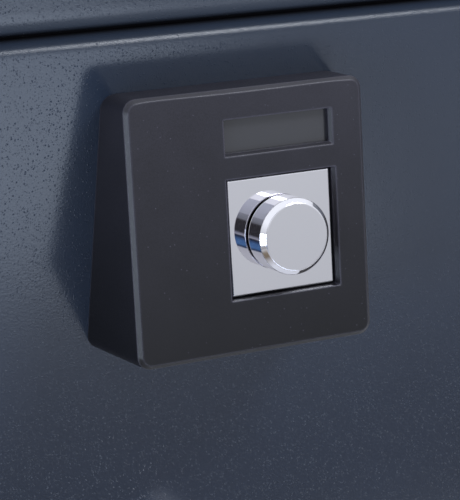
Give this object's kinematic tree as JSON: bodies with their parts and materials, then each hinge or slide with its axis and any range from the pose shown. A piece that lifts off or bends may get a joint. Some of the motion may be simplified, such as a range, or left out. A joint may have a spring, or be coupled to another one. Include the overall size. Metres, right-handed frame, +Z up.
{
  "type": "security safe",
  "caption": "Steel safe with a proud hinged door, lever-driven locking bolts, a shelf and a sloped electronic entry unit with a display window and a push-and-turn knob.",
  "frame": {"origin": "centre of the body's base, on the floor", "axes": "+Z up, -Y out of the door's front, +X to the hinge side"},
  "size_m": [0.48, 0.4982, 0.64],
  "materials": {
    "shell_paint": "satin, fine pebble",
    "frame_paint": "satin, fine pebble",
    "door_paint": "semi-gloss, fine pebble",
    "hinge_paint": "satin",
    "barrier": "rough cast",
    "liner_paint": "matt",
    "plug_paint": "satin",
    "steel": "brushed",
    "bolt_steel": "ground and polished",
    "screw_steel": "zinc",
    "bronze": "turned",
    "brass": "machined",
    "handle_chrome": "polished",
    "knob_chrome": "polished",
    "plate_chrome": "polished",
    "seal_rubber": "matt",
    "lock_cast": "die cast",
    "housing_black": "fine grain",
    "inner_plastic": "plain",
    "display_glass": "smoked",
    "display_dark": "plain",
    "board_green": "solder mask",
    "motor_steel": "plain",
    "cable_black": "matt",
    "cell_jacket": "plain"
  },
  "bodies": {
    "body": {"outer_shell": "shell_paint", "barrier_fill": "barrier", "inner_liner": "liner_paint", "front_frame": "frame_paint", "door_seal": "seal_rubber", "anchor_sleeves": "steel", "shelf": "liner_paint", "shelf_studs": "steel", "hinge_body_upper": "hinge_paint", "hinge_body_lower": "hinge_paint", "hinge_pins": "steel", "hinge_washers": "bronze"},
    "door": {"hinge_door_upper": "hinge_paint", "hinge_door_lower": "hinge_paint", "door_skin": "door_paint", "door_armour": "steel", "plug_fill": "barrier", "door_back_plate": "plug_paint", "boltwork_frame": "plug_paint", "cover_posts": "steel", "boltwork_cover": "plug_paint", "cover_screws": "screw_steel", "fixed_dogs": "steel", "bolt_guides": "steel", "guide_studs": "steel", "handle_rosette": "handle_chrome", "spindle_bush_front": "bronze", "spindle_bush_rear": "bronze", "lock_case": "lock_cast", "lock_cover": "lock_cast", "lock_screws": "screw_steel", "lock_motor": "motor_steel", "lock_board": "board_green", "lock_cable": "cable_black", "entry_housing": "housing_black", "housing_screws": "screw_steel", "entry_base": "inner_plastic", "entry_base_screws": "screw_steel", "entry_chassis": "inner_plastic", "display_window": "display_glass", "display_module": "display_dark", "knob_plate": "plate_chrome", "main_board": "board_green", "encoder_body": "inner_plastic", "press_switch": "inner_plastic", "batteries": "cell_jacket", "battery_holder": "inner_plastic"},
    "handle": {"handle_lever": "handle_chrome", "handle_set_screw": "screw_steel", "handle_spindle": "steel", "drive_cam": "steel", "cam_screw": "screw_steel"},
    "carriage": {"bolt_carriage": "steel", "locking_bolts": "bolt_steel", "bolt_screws": "screw_steel"},
    "lock_bolt": {"lock_bolt": "brass"},
    "rotor": {"encoder_rotor": "inner_plastic"},
    "knob": {"knob_cap": "knob_chrome", "knob_shaft": "brass"}
  },
  "joints": [
    {"name": "door_swing", "type": "hinge", "parent": "body", "child": "door", "pos_m": [0.211, -0.2198, 0.32], "axis": [0, 0, 1], "range_deg": [0, 115]},
    {"name": "handle_turn", "type": "hinge", "parent": "door", "child": "handle", "pos_m": [0, -0.2273, 0.308], "axis": [0, -1, 0], "range_deg": [0, 90]},
    {"name": "bolt_slide", "type": "slide", "parent": "door", "child": "carriage", "axis": [-1, 0, 0], "range_m": [0, 0.026]},
    {"name": "lock_bolt_drop", "type": "slide", "parent": "door", "child": "lock_bolt", "axis": [0, 0, -1], "range_m": [0, 0.015]},
    {"name": "knob_turn", "type": "hinge", "parent": "door", "child": "rotor", "pos_m": [0.0166, -0.27154, 0.5165], "axis": [0, -0.9615, 0.2748], "continuous": true},
    {"name": "knob_press", "type": "slide", "parent": "rotor", "child": "knob", "axis": [0, 0.9615, -0.2748], "range_m": [0, 0.0012], "stiffness_N_per_m": 1500}
  ],
  "couplings": [
    {"joint": "bolt_slide", "follows": "handle_turn", "m_per_rad": 0.016552},
    {"joint": "lock_bolt_drop", "follows": "handle_turn", "m_per_rad": 0.0095493}
  ]
}
